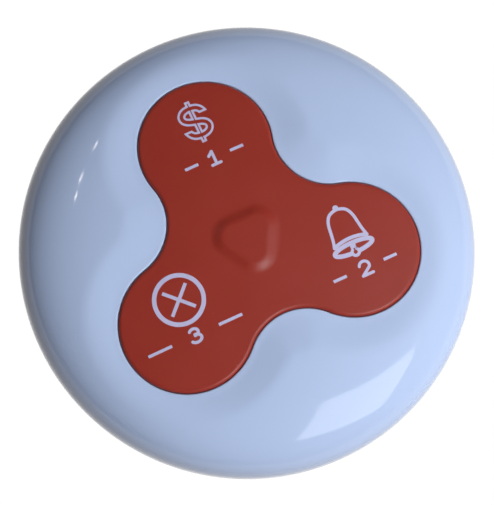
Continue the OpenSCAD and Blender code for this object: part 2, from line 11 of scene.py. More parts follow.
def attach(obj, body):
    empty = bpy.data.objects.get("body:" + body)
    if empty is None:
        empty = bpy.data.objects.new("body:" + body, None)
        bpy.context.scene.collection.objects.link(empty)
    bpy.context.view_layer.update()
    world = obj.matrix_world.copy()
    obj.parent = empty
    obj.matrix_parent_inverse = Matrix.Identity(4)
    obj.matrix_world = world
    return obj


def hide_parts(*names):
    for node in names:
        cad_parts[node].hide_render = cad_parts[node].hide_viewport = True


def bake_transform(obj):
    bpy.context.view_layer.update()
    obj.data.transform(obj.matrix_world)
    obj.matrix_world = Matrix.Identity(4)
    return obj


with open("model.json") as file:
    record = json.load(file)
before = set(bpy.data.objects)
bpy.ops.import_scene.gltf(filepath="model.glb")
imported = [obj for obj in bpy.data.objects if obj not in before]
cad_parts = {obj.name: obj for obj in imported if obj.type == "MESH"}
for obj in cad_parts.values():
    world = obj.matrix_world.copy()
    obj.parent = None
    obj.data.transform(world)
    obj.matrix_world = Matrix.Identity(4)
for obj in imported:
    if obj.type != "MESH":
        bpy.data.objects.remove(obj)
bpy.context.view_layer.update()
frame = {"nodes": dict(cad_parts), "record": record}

# Lengths are in millimetres until a mesh is made. MM turns them into metres.
MM = 0.001

# ---- Named sizes, the same as in the part's source ----
BODY_R = 39.3
EQUATOR_Z = 9
DOME_POWER = 3.8
CROWN_Z = 23.2
UNDERSIDE_R = 35.5
UNDERSIDE_Z = 0.8
WALL = 2
SEAM_Z = 7
LOBE_R, LOBE_DIST = 11.3, 17.4
VALLEY_R = 9.6
PAD_Z, PAD_T = 22.6, 3
PAD_CROWN_R = 340
PAD_EDGE_R = 0.6
PAD_PROUD = 0.3
POST_R = 1.6
POST_TIP_Z = 15.7
DISH_W, DISH_SPREAD, DISH_FLAT = 5.4, 1.8, 0.7
SEAT_W = 1.6
FRAME_TOP_Z, FRAME_Z = 18.22, 16.82
SKIN_T = 0.6
KEYS = {"bill": 90, "cancel": 210, "call": 330}

# ---- Sizes that follow the photograph here, and differ a little from the part's source ----
PAD_GAP = 0.1
OPENING_EDGE_R = 0.3
NUB_H, NUB_SIDE, NUB_POWER, NUB_SLOPE = 0.55, 4, 1.6, 2.3
# Share of the dish's slope over which each of its ends is rounded
SLOPE_ROUND = 0.2

# The pad is cut at BEND_START into its middle and a skin for each key
BEND_START, BEND_END = 6.95, 9.95

# ---- Numbers of points and rings ----
LOBE_STEPS, VALLEY_STEPS = 84, 44
BELLY_RINGS, SIDE_RINGS, SHOULDER_RINGS, DISH_RINGS, EDGE_RINGS = 5, 27, 25, 30, 6
INNER_SIDE_RINGS = 11
PAD_EDGE_RINGS, PAD_TOP_RINGS = 6, 62
# Degrees of the dome's quarter turn at which its side ends and its shoulder starts
CREST = 60
# The smallest ring of the pad's top has this share of its outline, and one on a lathe's axis has
# this radius
MIDDLE_SHARE, MIDDLE_R = 0.02, 0.01


def polar(r, a):
    return np.array([r * math.cos(math.radians(a)), r * math.sin(math.radians(a))])


def smooth(x):
    u = np.clip(x, 0, 1)
    return u * u * (3 - 2 * u)


# ---- The trilobe outline, as arcs with a centre, a direction and a radius at each point ----
VALLEY_DIST = (LOBE_DIST + math.sqrt(4 * (LOBE_R + VALLEY_R) ** 2 - 3 * LOBE_DIST ** 2)) / 2
TANGENT = math.degrees(math.atan2(VALLEY_DIST * math.sin(math.pi / 3),
                                  VALLEY_DIST / 2 - LOBE_DIST))


def outline_points():
    """Centres, directions, radii and signs (1 on a lobe, -1 in a valley) of the points."""
    rows = []
    turn = TANGENT - 60
    for a in KEYS.values():
        for i in range(LOBE_STEPS):
            way = polar(1, a - TANGENT + 2 * TANGENT * i / LOBE_STEPS)
            rows.append((polar(LOBE_DIST, a), way, LOBE_R, 1))
        for i in range(VALLEY_STEPS):
            way = polar(1, a + 240 + turn - 2 * turn * i / VALLEY_STEPS)
            rows.append((polar(VALLEY_DIST, a + 60), way, VALLEY_R, -1))
    return [np.array(column) for column in zip(*rows)]


CENTRES, WAYS, RADII, SIGNS = outline_points()


def trilobe(off):
    """The pad's outline, moved outwards by off."""
    return CENTRES + (RADII + SIGNS * off)[:, None] * WAYS


def norm(p):
    return np.hypot(p[..., 0], p[..., 1])


# ---- Surfaces of the pad and the cover. inside is the distance in from the outer skin ----
def pad_top(r):
    return PAD_Z - r * r / (2 * PAD_CROWN_R)


def dome(r, inside=0):
    share = np.clip(1 - (r / (BODY_R - inside)) ** DOME_POWER, 0, None)
    return EQUATOR_Z + (CROWN_Z - EQUATOR_Z - inside) * share ** (1 / DOME_POWER)


def side_r(share, inside=0):
    """The dome's radius at a share of the height from its widest line to its crown."""
    return (BODY_R - inside) * (1 - share ** DOME_POWER) ** (1 / DOME_POWER)


def cover_top(r, rise, inside=0):
    """Height of the cover: rise is 0 on the dish's floor and 1 on the plain dome."""
    return rise * dome(r, inside) + (1 - rise) * (pad_top(r) - PAD_PROUD - inside)


def belly_r(z):
    """The body's radius at a height below its widest line."""
    return UNDERSIDE_R + (BODY_R - UNDERSIDE_R) * math.sqrt(
        1 - ((EQUATOR_Z - z) / (EQUATOR_Z - UNDERSIDE_Z)) ** 2)


def raised(points, z):
    return np.column_stack([points, np.broadcast_to(z, len(points))])


# The dish's width at each point of the outline: it is wider in the valleys
AROUND = np.arctan2(trilobe(0)[:, 1], trilobe(0)[:, 0])
RIM_W = DISH_W + DISH_SPREAD * ((1 + np.sin(3 * AROUND)) / 2) ** 2
RIM_END = RIM_W + SLOPE_ROUND * (RIM_W - DISH_FLAT)
RIM = trilobe(RIM_END)


def soft_step(u):
    """0 to 1 as u goes from 0 to 1, in a straight line with both ends rounded."""
    v = np.clip(u, -SLOPE_ROUND, 1 + SLOPE_ROUND)
    low = np.where(v < SLOPE_ROUND, (v + SLOPE_ROUND) ** 2 / (4 * SLOPE_ROUND), v)
    return np.where(v > 1 - SLOPE_ROUND,
                    1 - (1 + SLOPE_ROUND - v) ** 2 / (4 * SLOPE_ROUND), low)


def dish_ring(start, share, inside=0):
    """Points of the cover at a share of the way from start outside the pad to the dish's rim."""
    off = start + share * (RIM_END - start)
    flat = trilobe(off)
    rise = soft_step((off - DISH_FLAT) / (RIM_W - DISH_FLAT))
    return raised(flat, cover_top(norm(flat), rise, inside))


def on_dome(points, inside=0):
    return raised(points, dome(norm(points), inside))


def ring(r):
    """A circle, with its points at the same angles as those of the dish's rim."""
    return r * RIM / norm(RIM)[:, None]


# ---- Mesh helpers ----
def new_object(name, data):
    thing = bpy.data.objects.new(name, data)
    bpy.context.scene.collection.objects.link(thing)
    return thing


def start_mesh(name, verts, faces):
    """A mesh from points in millimetres, and a bmesh of it whose faces look outwards."""
    mesh = bpy.data.meshes.new(name)
    mesh.from_pydata([tuple(v * MM for v in p) for p in verts], [], faces)
    bm = bmesh.new()
    bm.from_mesh(mesh)
    bmesh.ops.recalc_face_normals(bm, faces=bm.faces)
    return mesh, bm


def finish_mesh(mesh, bm, sharp=40):
    """Fills mesh from bm, smooth apart from the edges bent by more than sharp degrees."""
    for f in bm.faces:
        f.smooth = True
    for e in bm.edges:
        e.smooth = len(e.link_faces) != 2 or e.calc_face_angle(0) < math.radians(sharp)
    bm.to_mesh(mesh)
    bm.free()


def make_piece(name, body, slot, verts, faces, sharp=40):
    """A piece that rides on body. slot is not used."""
    mesh, bm = start_mesh(name, verts, faces)
    finish_mesh(mesh, bm, sharp)
    piece = new_object(name, mesh)
    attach(piece, body)
    return piece


def skin(rings, loop=False):
    """Points and faces of a closed skin through rings of equally many points."""
    n, m = len(rings[0]), len(rings)
    verts = [tuple(p) for r in rings for p in r]
    faces = []
    for j in range(m if loop else m - 1):
        k = (j + 1) % m
        for i in range(n):
            h = (i + 1) % n
            faces.append((j * n + i, j * n + h, k * n + h, k * n + i))
    if not loop:
        for j in (0, m - 1):
            verts.append(tuple(np.mean(rings[j], axis=0)))
            end = len(verts) - 1
            faces += [(j * n + i, j * n + (i + 1) % n, end) for i in range(n)]
    return verts, faces


def lathe(profile, centre=(0, 0), steps=48):
    """Rings of a turned form: profile lists (radius, height) from one end to the other."""
    a = np.arange(steps) * 2 * math.pi / steps
    circle = np.column_stack([np.cos(a), np.sin(a)])
    return [raised(np.array(centre) + max(r, MIDDLE_R) * circle, z) for r, z in profile]


# ---- Cover ----
def cover_rings():
    """Rings from the seam up the outside, down through the opening and back on the inside."""
    height = CROWN_Z - EQUATOR_Z
    crest = math.cos(math.radians(CREST)) ** (2 / DOME_POWER)
    side = math.sin(math.radians(CREST)) ** (2 / DOME_POWER)
    rings = [raised(ring(belly_r(z)), z)
             for z in np.linspace(SEAM_Z, EQUATOR_Z, BELLY_RINGS + 1)[:-1]]
    for share in np.linspace(0, crest, SIDE_RINGS + 1)[:-1]:
        rings.append(raised(ring(side_r(share)), EQUATOR_Z + height * share))
    for s in np.linspace(0, 1, SHOULDER_RINGS + 1)[:-1]:
        rings.append(on_dome((1 - s) * ring(BODY_R * side) + s * RIM))
    edge_t = PAD_GAP + OPENING_EDGE_R
    for s in np.linspace(1, 0, DISH_RINGS):
        rings.append(dish_ring(edge_t, s))
    edge = rings[-1]
    for a in np.linspace(0, 90, EDGE_RINGS + 1)[1:]:
        flat = trilobe(edge_t - OPENING_EDGE_R * math.sin(math.radians(a)))
        rings.append(raised(flat, edge[:, 2] - OPENING_EDGE_R * (1 - math.cos(math.radians(a)))))
    seat = PAD_GAP + SEAT_W
    rings.append(raised(trilobe(PAD_GAP), FRAME_TOP_Z))
    rings.append(raised(trilobe(seat), FRAME_TOP_Z))
    for s in (0, 0.3, 0.65, 1):
        rings.append(dish_ring(seat, s, WALL))
    for s in (0.25, 0.5, 0.75, 1):
        rings.append(on_dome((1 - s) * RIM + s * ring((BODY_R - WALL) * side), WALL))
    for share in np.linspace(crest, 0, INNER_SIDE_RINGS + 1)[1:]:
        rings.append(raised(ring(side_r(share, WALL)), EQUATOR_Z + (height - WALL) * share))
    rings.append(raised(ring(belly_r(SEAM_Z) - WALL), SEAM_Z))
    return rings


cover = make_piece("cover_shell", "housing", "white_gloss", *skin(cover_rings(), loop=True))
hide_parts("top_cover")


# ---- Key pad ----
def nub_share(p):
    """How far a point of the pad is up the nub's slope: 0 outside and 1 on its top."""
    a = np.arctan2(p[:, 1], p[:, 0])
    sides = sum(np.clip(np.cos(a - math.radians(k)), 0, None) ** NUB_POWER for k in KEYS.values())
    return smooth(0.5 - (norm(p) - NUB_SIDE / sides ** (1 / NUB_POWER)) / NUB_SLOPE)


def on_pad(points, down=0):
    share = nub_share(points)
    z = pad_top(norm(points)) * (1 - share) + (PAD_Z + NUB_H) * share
    return raised(points, z - down)


def pad_rings():
    """Rings of the whole pad: its flat underside, its rounded edge and its top."""
    rings = [raised(trilobe(0) * s, PAD_Z - PAD_T) for s in (0.25, 0.5, 0.75, 1)]
    for a in np.linspace(90, 15, PAD_EDGE_RINGS):
        sin, cos = math.sin(math.radians(a)), math.cos(math.radians(a))
        rings.append(on_pad(trilobe(PAD_EDGE_R * (sin - 1)), PAD_EDGE_R * (1 - cos)))
    rings += [on_pad(trilobe(-PAD_EDGE_R) * s)
              for s in np.linspace(1, MIDDLE_SHARE, PAD_TOP_RINGS)]
    return rings


def pad_piece(name, planes, turned):
    """The part of the pad behind every plane (point, normal), and a turned form under it."""
    mesh, bm = start_mesh(name, *skin(pad_rings()))
    for point, way in planes:
        cut = bmesh.ops.bisect_plane(bm, geom=bm.verts[:] + bm.edges[:] + bm.faces[:], dist=1e-9,
                                     plane_co=point, plane_no=way, clear_outer=True)
        edges = [e for e in cut["geom_cut"] if isinstance(e, bmesh.types.BMEdge)]
        bmesh.ops.edgeloop_fill(bm, edges=edges)
    more, part = start_mesh(name + "_turned", *skin(turned))
    part.to_mesh(more)
    part.free()
    bm.from_mesh(more)
    bpy.data.meshes.remove(more)
    finish_mesh(mesh, bm)
    piece = new_object(name, mesh)
    return piece


def neck(a, dist):
    """A point on the line from the pad's middle to the key at angle a."""
    return Vector((*polar(dist * MM, a), 0))


def key_direction(a):
    return Vector((*polar(1, a), 0))


STEM_R, PLUG_R, PLUG_HEAD, PLUG_LIP = 3.4, 2.4, 1.6, 0.5
POST_STEPS = 32
SKIN_Z = PAD_Z - PAD_T + SKIN_T
stem = lathe([(0, SKIN_Z), (STEM_R, SKIN_Z), (STEM_R, FRAME_TOP_Z),
              (PLUG_R, FRAME_TOP_Z), (PLUG_R, FRAME_Z), (PLUG_R + PLUG_LIP, FRAME_Z),
              (PLUG_R / 2, FRAME_Z - PLUG_HEAD), (0, FRAME_Z - PLUG_HEAD)])
middle = pad_piece("pad_middle",
                   [(neck(a, BEND_START), key_direction(a)) for a in KEYS.values()], stem)
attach(middle, "housing")
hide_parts("pad_hub")
key_skins = {}
for key, a in KEYS.items():
    post = lathe([(0, POST_TIP_Z), (POST_R / 2, POST_TIP_Z), (POST_R, POST_TIP_Z + POST_R / 4),
                  (POST_R, SKIN_Z), (0, SKIN_Z)], polar(LOBE_DIST, a), POST_STEPS)
    piece = pad_piece(key + "_skin",
                      [(neck(a, BEND_START), -key_direction(a))], post)
    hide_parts(key + "_key")
    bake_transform(piece)
    key_skins[key] = piece


# ---- Prints: plain signs and numbers, drawn as distance fields and cut out as thin ink ----
def to_line(points):
    """Distance from every place to a line of points."""
    pts = [np.array(p, float) for p in points]

    def field(x, y):
        best = np.full(x.shape, 1e9)
        for p, q in zip(pts, pts[1:]):
            d = q - p
            u = np.clip(((x - p[0]) * d[0] + (y - p[1]) * d[1]) / max(d @ d, 1e-12), 0, 1)
            best = np.minimum(best, np.hypot(x - p[0] - u * d[0], y - p[1] - u * d[1]))
        return best
    return field


def stroke(points, width):
    """A line of ink with round ends."""
    line = to_line(points)
    return lambda x, y: line(x, y) - width / 2


def dot(x, y, width):
    return stroke([(x, y), (x, y)], width)


def bar(p, q, width):
    """A straight stroke with square ends."""
    p, q = np.array(p, float), np.array(q, float)
    mid, half = (p + q) / 2, np.linalg.norm(q - p) / 2
    u = (q - p) / (2 * half)

    def field(x, y):
        along = np.abs((x - mid[0]) * u[0] + (y - mid[1]) * u[1]) - half
        across = np.abs((y - mid[1]) * u[0] - (x - mid[0]) * u[1]) - width / 2
        return np.maximum(along, across)
    return field


def union(*fields):
    return lambda x, y: np.min([f(x, y) for f in fields], axis=0)


def without(field, hole):
    return lambda x, y: np.maximum(field(x, y), -hole(x, y))


def arc(centre, rx, ry, start, end, steps=24):
    return [(centre[0] + rx * math.cos(math.radians(a)),
             centre[1] + ry * math.sin(math.radians(a)))
            for a in np.linspace(start, end, steps + 1)]


def curve(points, steps=6):
    """A smooth line through points."""
    p = [np.array(q, float) for q in [points[0], *points, points[-1]]]
    out = []
    for a, b, c, d in zip(p, p[1:], p[2:], p[3:]):
        for t in np.arange(steps) / steps:
            out.append(0.5 * (2 * b + (c - a) * t + (2 * a - 5 * b + 4 * c - d) * t * t
                              + (3 * b - a - 3 * c + d) * t ** 3))
    return out + [p[-1]]


def contours(field, box, step):
    """Closed loops where the field is zero, inside box = (x0, y0, x1, y1)."""
    tiny = 1e-7
    xs = np.arange(box[0], box[2] + step, step)
    ys = np.arange(box[1], box[3] + step, step)
    v = field(*np.meshgrid(xs, ys, indexing="ij"))
    v[np.abs(v) < tiny] = tiny
    neg = v < 0

    def cross(i, j, k, l):
        t = v[i, j] / (v[i, j] - v[k, l])
        return (xs[i] + t * (xs[k] - xs[i]), ys[j] + t * (ys[l] - ys[j]))

    places, links = {}, {}
    mixed = neg[:-1, :-1].astype(int) + neg[1:, :-1] + neg[:-1, 1:] + neg[1:, 1:]
    for i, j in np.argwhere((mixed > 0) & (mixed < 4)):
        corners = [(i, j), (i + 1, j), (i + 1, j + 1), (i, j + 1)]
        hits = []
        for a, b in zip(corners, corners[1:] + corners[:1]):
            if neg[a] != neg[b]:
                edge = (min(a, b), max(a, b))
                places[edge] = cross(*edge[0], *edge[1])
                hits.append(edge)
        # A saddle: the mean of its corners says which pairs of crossings belong together
        if len(hits) == 4:
            mean = v[i, j] + v[i + 1, j] + v[i + 1, j + 1] + v[i, j + 1]
            if (mean < 0) == neg[i, j]:
                hits = hits[1:] + hits[:1]
        for a, b in zip(hits[::2], hits[1::2]):
            links.setdefault(a, []).append(b)
            links.setdefault(b, []).append(a)
    loops, seen = [], set()
    for first in links:
        if first in seen:
            continue
        loop, last, here = [], None, first
        while here not in seen:
            seen.add(here)
            loop.append(places[here])
            ahead = [e for e in links[here] if e != last]
            last, here = here, ahead[0]
        loops.append(np.array(loop))
    return loops


def thinned(loop, tolerance=0.004, longest=0.8):
    """The loop with the points left out that a straight line stands for."""
    def split(a, b):
        if b - a < 2:
            return []
        p, q = loop[a], loop[b % len(loop)]
        d = q - p
        rel = loop[a + 1:b] - p
        off = np.abs(rel[:, 0] * d[1] - rel[:, 1] * d[0]) / max(np.hypot(*d), 1e-9)
        k = int(np.argmax(off))
        if off[k] < tolerance and np.hypot(*d) < longest:
            return []
        if off[k] < tolerance:
            k = (b - a) // 2 - 1
        return split(a, a + 1 + k) + [a + 1 + k] + split(a + 1 + k, b)
    half = len(loop) // 2
    keep = [0] + split(0, half) + [half] + split(half, len(loop))
    return loop[keep]


# Ink stands INK_TOP proud of the pad and reaches INK_SUNK into it
INK_TOP, INK_SUNK, INK_STEP = 0.03, 0.05, 0.045
SHORTEST_LOOP = 8


def ink(name, key, field, box):
    """A print on a key's pad: a thin layer that follows the pad's crown."""
    loops = [thinned(l) for l in contours(field, box, INK_STEP) if len(l) > SHORTEST_LOOP]
    flat = [Vector(p) for l in loops for p in l]
    edges, base = [], 0
    for l in loops:
        edges += [(base + i, base + (i + 1) % len(l)) for i in range(len(l))]
        base += len(l)
    points, _, faces, origins, _, _ = delaunay_2d_cdt(flat, edges, [], 0, 1e-6)
    mids = np.array([np.mean([points[i][:] for i in f], axis=0) for f in faces])
    inside = field(mids[:, 0], mids[:, 1]) < 0
    faces = [f for f, kept in zip(faces, inside) if kept]
    xy = np.array([p[:] for p in points])
    top = pad_top(norm(xy))
    n = len(xy)
    verts = list(raised(xy, top + INK_TOP)) + list(raised(xy, top - INK_SUNK))
    where = {o: i for i, ids in enumerate(origins) for o in ids}
    walls = [(where[a], where[b], where[b] + n, where[a] + n) for a, b in edges]
    polys = [tuple(f) for f in faces] + [tuple(i + n for i in reversed(f)) for f in faces] + walls
    return make_piece(name, key + "_key", None, verts, polys, 30)


# The money sign: the outline of a fat S with an upright bar, the same when turned by half a turn
SIGN_INK = 0.37
MONEY_X, MONEY_Y = 0.27, 21.79
ARM = curve([(0, 0), (-1.05, 0.33), (-1.72, 0.8), (-1.9, 1.5), (-1.5, 2.15), (-0.75, 2.47),
             (0.1, 2.5), (1.0, 2.3), (1.6, 1.8), (1.95, 1.1)])
ARM_W = 0.98
# The arm's end is cut off below and to the right of here
ARM_CUT_X, ARM_CUT_Y = 0.75, 1.33
UPRIGHT_REACH, UPRIGHT_W = 3.67, 0.54


def half_s(x, y):
    return np.maximum(stroke(ARM, ARM_W)(x, y), np.minimum(x - ARM_CUT_X, ARM_CUT_Y - y))


def money(x, y):
    u, v = x - MONEY_X, y - MONEY_Y
    body = np.minimum(half_s(u, v), half_s(-u, -v))
    upright = bar((0, -UPRIGHT_REACH), (0, UPRIGHT_REACH), UPRIGHT_W)
    return np.abs(np.minimum(body, upright(u, v))) - SIGN_INK / 2


# The bell: dome, knob, band and mouth, and a clapper with a hole in its ink
BELL_X = 15.2
BELL_INK, KNOB_W, BAND_INK, MOUTH_INK = 0.53, 1.0, 0.6, 0.74
MOUTH = (BELL_X, -8.6)
BELL_SIDE = [(3.0, -7.5), (2.71, -6.46), (2.48, -5.05), (2.29, -3.75), (1.93, -2.76),
             (1.29, -2.04)]
bell_dome = curve([(BELL_X - x, y) for x, y in BELL_SIDE] + [(BELL_X, -1.68)]
                  + [(BELL_X + x, y) for x, y in reversed(BELL_SIDE)])
bell_band = [(BELL_X + x, -6.92 - 0.06 * x * x) for x in np.linspace(-2.95, 2.95, 13)]
bell = without(
    union(stroke(bell_dome, BELL_INK), dot(BELL_X + 0.05, -1.4, KNOB_W),
          stroke(bell_band, BAND_INK), stroke(arc(MOUTH, 3.42, 0.85, 0, 360, 72), MOUTH_INK),
          dot(BELL_X, -9.42, 1.7), stroke([(BELL_X, -8.1), (BELL_X, -9.2)], 1.0)),
    union(dot(BELL_X, -9.4, 0.68), stroke([(BELL_X, -9.3), (BELL_X, -8.8)], 0.26)))

# The crossed circle
CROSS_X, CROSS_Y, CROSS_ARM, CROSS_INK = -14.65, -4.58, 2.09, 0.58
CIRCLE_R, CIRCLE_INK = 4.07, 0.74
crossed = union(
    stroke(arc((CROSS_X, CROSS_Y), CIRCLE_R, CIRCLE_R, 0, 360, 96), CIRCLE_INK),
    *[bar((CROSS_X - CROSS_ARM, CROSS_Y - s * CROSS_ARM),
          (CROSS_X + CROSS_ARM, CROSS_Y + s * CROSS_ARM), CROSS_INK) for s in (1, -1)])

# The three numbers, each between two dashes
DIGIT_H, DIGIT_INK = 2.8, 0.5


def digit_lines(n):
    """Lines of the number 1, 2 or 3, from its base line up."""
    top, low = DIGIT_H - DIGIT_INK / 2, DIGIT_INK / 2
    if n == 1:
        return [[(-0.75, top - 0.62), (0, top), (0, low)], [(-0.78, low), (0.78, low)]]
    if n == 2:
        return [arc((0, top - 0.78), 0.86, 0.78, 165, -32, 20) + [(-0.9, low), (0.98, low)]]
    return [arc((-0.05, top - 0.58), 0.76, 0.58, 150, -90, 20)
            + arc((-0.05, low + 0.66), 0.92, 0.66, 90, -150, 20)]


def number(n, x, y, reach, dash=2.4):
    """The number n on the base line y, with dashes that end at x - reach and x + reach."""
    lines = [[(x + px, y + py) for px, py in line] for line in digit_lines(n)]
    fields = [stroke(line, DIGIT_INK) for line in lines]
    mid = y + DIGIT_H / 2
    for s in (-1, 1):
        fields.append(bar((x + s * reach, mid), (x + s * (reach - dash), mid), DIGIT_INK))
    return union(*fields)


ink("bill_sign", "bill", money, (-3.2, 17.2, 3.6, 26.3))
ink("bill_number", "bill", number(1, 0.52, 13.42, 5.3), (-5.4, 12.9, 6.4, 16.8))
ink("call_sign", "call", bell, (10.8, -10.8, 19.6, -0.3))
ink("call_number", "call", number(2, 15.5, -13.86, 5.8), (9.2, -14.4, 21.8, -10.5))
ink("cancel_sign", "cancel", crossed, (-19.7, -9.7, -9.6, 0.5))
ink("cancel_number", "cancel", number(3, -14.6, -12.42, 8.4, 4.2), (-23.6, -13, -5.6, -9.1))


# ---- Materials ----
def rgb(*levels):
    """A linear colour from one written as 0 to 255."""
    shares = [c / 255 for c in levels]
    return (*[s / 12.92 if s <= 0.04045 else ((s + 0.055) / 1.055) ** 2.4 for s in shares], 1)


def shade(colour, by):
    return tuple(min(1, c * by) for c in colour[:3]) + (1,)


def put(tree, socket, value):
    """Links a socket to another node's output, or sets its own value."""
    if isinstance(value, bpy.types.NodeSocket):
        tree.links.new(value, socket)
    else:
        socket.default_value = value


def add_node(tree, kind, inputs=(), **settings):
    node = tree.nodes.new("ShaderNode" + kind)
    for k, v in settings.items():
        setattr(node, k, v)
    for k, v in dict(inputs).items():
        put(tree, node.inputs[k], v)
    return node


class Nodes:
    """Builds one material's nodes. Sizes are in millimetres."""

    def __init__(self, name):
        self.material = bpy.data.materials.new(name)
        self.material.use_nodes = True
        self.tree = self.material.node_tree
        self.shader = self.tree.nodes["Principled BSDF"]
        self.place = self.add("TexCoord").outputs["Object"]

    def add(self, kind, inputs=(), **settings):
        return add_node(self.tree, kind, inputs, **settings)

    def noise(self, size, detail=2, stretch=None, rough=0.5):
        """Soft noise whose lumps are about size wide."""
        place = self.place
        if stretch:
            place = self.add("Mapping", {"Vector": place, "Scale": stretch}).outputs[0]
        return self.add("TexNoise", {"Vector": place, "Scale": 1 / (size * MM), "Detail": detail,
                                     "Roughness": rough}).outputs["Fac"]

    def ramp(self, fac, low, high, start=0.0, end=1.0):
        """low to high as fac goes from start to end."""
        return self.add("MapRange", {"Value": fac, "From Min": start, "From Max": end,
                                     "To Min": low, "To Max": high}).outputs[0]

    def mix(self, fac, a, b):
        """Colours a to b as fac goes from 0 to 1. Sockets 6, 7 and 2 are those for colours."""
        return self.add("Mix", {0: fac, 6: a, 7: b}, data_type="RGBA").outputs[2]

    def math(self, operation, a, b):
        return self.add("Math", {0: a, 1: b}, operation=operation).outputs[0]

    def specks(self, spacing, size, share):
        """1 in tiny dots about size wide, in a share of the cells that are spacing wide."""
        cells = self.add("TexVoronoi", {"Vector": self.place, "Scale": 1 / (spacing * MM)})
        near = self.math("LESS_THAN", cells.outputs["Distance"], size / spacing / 2)
        pick = self.add("SeparateColor", {"Color": cells.outputs["Color"]}).outputs[0]
        return self.math("MULTIPLY", near, self.math("LESS_THAN", pick, share))

    def bump(self, height, depth):
        node = self.add("Bump", {"Height": height, "Distance": depth * MM, "Strength": 1.0})
        put(self.tree, self.shader.inputs["Normal"], node.outputs[0])

    def finish(self, colour, roughness, **sockets):
        sockets = {"Base_Color": colour, "Roughness": roughness, **sockets}
        for k, v in sockets.items():
            put(self.tree, self.shader.inputs[k.replace("_", " ")], v)
        return self.material


def plastic(name, colour, roughness, vary, size, grain, grain_size=0.3):
    """Moulded material: slow colour drift, uneven gloss and a fine grain."""
    m = Nodes(name)
    drift = m.noise(size, 3)
    rough = m.ramp(m.noise(size / 3, 4), roughness * 0.8, roughness * 1.25, 0.3, 0.7)
    m.bump(m.noise(grain_size, 2), grain)
    return m.finish(m.mix(drift, shade(colour, 1 - vary), shade(colour, 1 + vary)), rough)


def metal(name, colour, roughness, size=3, stretch=(1, 1, 8)):
    """Pressed or plated metal: streaks, spots of wear and a fine bump."""
    m = Nodes(name)
    streaks = m.noise(size / 6, 3, stretch)
    rough = m.ramp(streaks, roughness * 0.7, roughness * 1.5, 0.3, 0.7)
    m.bump(streaks, 0.004)
    tone = m.mix(m.noise(size, 4), shade(colour, 0.82), shade(colour, 1.08))
    return m.finish(tone, rough, Metallic=1.0)


def white_gloss(name, colour, roughness):
    """Glossy white moulding with faint waves, smudges, hair scratches and specks of dust."""
    m = Nodes(name)
    smudge = m.noise(14, 4, rough=0.6)
    hair = m.noise(0.5, 2, (1, 14, 1))
    rough = m.math("ADD", m.ramp(smudge, roughness * 0.8, roughness * 1.35, 0.35, 0.7),
                   m.ramp(hair, 0, 0.05, 0.62, 0.7))
    dust = m.specks(2.6, 0.16, 0.035)
    tone = m.mix(m.noise(22, 2), shade(colour, 0.985), shade(colour, 1.015))
    waves = m.math("ADD", m.noise(5, 1), m.math("MULTIPLY", dust, 0.8))
    m.bump(waves, 0.02)
    return m.finish(m.mix(dust, tone, rgb(90, 88, 100)), rough, Specular_IOR_Level=0.42)


def red_silicone(name, colour):
    """Soft satin silicone: fine grain, cloudy sheen, and pale specks of dust."""
    m = Nodes(name)
    cloud = m.noise(7, 4, rough=0.6)
    dust = m.math("MAXIMUM", m.specks(1.5, 0.15, 0.03), m.specks(3.4, 0.22, 0.05))
    # Below about 0.274 the denoiser treats gloss as a mirror, and a range across it is blotchy
    rough = m.ramp(cloud, 0.285, 0.36, 0.3, 0.7)
    tone = m.mix(cloud, shade(colour, 0.94), shade(colour, 1.06))
    m.bump(m.noise(0.12, 2), 0.004)
    return m.finish(m.mix(m.math("MULTIPLY", dust, 0.7), tone, rgb(196, 128, 120)), rough,
                    Specular_IOR_Level=0.5)


def print_ink(name, colour):
    """Screen-printed ink, a little uneven and finely grained."""
    m = Nodes(name)
    tone = m.mix(m.noise(0.7, 4), shade(colour, 0.9), shade(colour, 1.05))
    m.bump(m.noise(0.15, 2), 0.006)
    return m.finish(tone, m.ramp(m.noise(1.2, 3), 0.4, 0.6, 0.3, 0.7))


def board_green(name):
    """Solder mask with the faint traces and pads under it."""
    m = Nodes(name)
    lines = m.add("TexBrick", {"Vector": m.place, "Scale": 1 / (9 * MM), "Mortar Size": 0.03,
                               "Brick Width": 0.5, "Row Height": 0.25}).outputs["Fac"]
    tone = m.mix(lines, rgb(24, 92, 52), rgb(46, 124, 70))
    m.bump(lines, 0.02)
    return m.finish(m.mix(m.ramp(m.noise(3, 3), 0, 0.3), tone, rgb(14, 66, 40)),
                    m.ramp(m.noise(1.5, 3), 0.25, 0.4))


materials = {
    "white_gloss": white_gloss("white_gloss", rgb(190, 208, 242), 0.07),
    "white_satin": plastic("white_satin", rgb(186, 198, 224), 0.36, 0.025, 12, 0.008, 0.35),
    "red_silicone": red_silicone("red_silicone", rgb(159, 53, 41)),
    "print_white": print_ink("print_white", rgb(202, 198, 232)),
    "black_rubber": plastic("black_rubber", rgb(42, 42, 45), 0.75, 0.15, 3, 0.02, 0.25),
    "grey_plastic": plastic("grey_plastic", rgb(150, 152, 158), 0.5, 0.05, 5, 0.01),
    "black_plastic": plastic("black_plastic", rgb(38, 38, 42), 0.45, 0.1, 2, 0.008, 0.15),
    "tan_ceramic": plastic("tan_ceramic", rgb(188, 160, 122), 0.5, 0.1, 1, 0.01, 0.1),
    "black_ceramic": plastic("black_ceramic", rgb(52, 52, 58), 0.4, 0.12, 1, 0.01, 0.1),
    "board_green": board_green("board_green"),
    "screw_steel": metal("screw_steel", rgb(196, 197, 200), 0.3),
    "plate_steel": metal("plate_steel", rgb(205, 206, 210), 0.28, 2, (8, 1, 1)),
    "cell_steel": metal("cell_steel", rgb(214, 214, 218), 0.22, 4, (1, 1, 1)),
    "contact_gold": metal("contact_gold", rgb(226, 196, 128), 0.3),
    "copper_wire": metal("copper_wire", rgb(206, 128, 84), 0.25, 1),
}


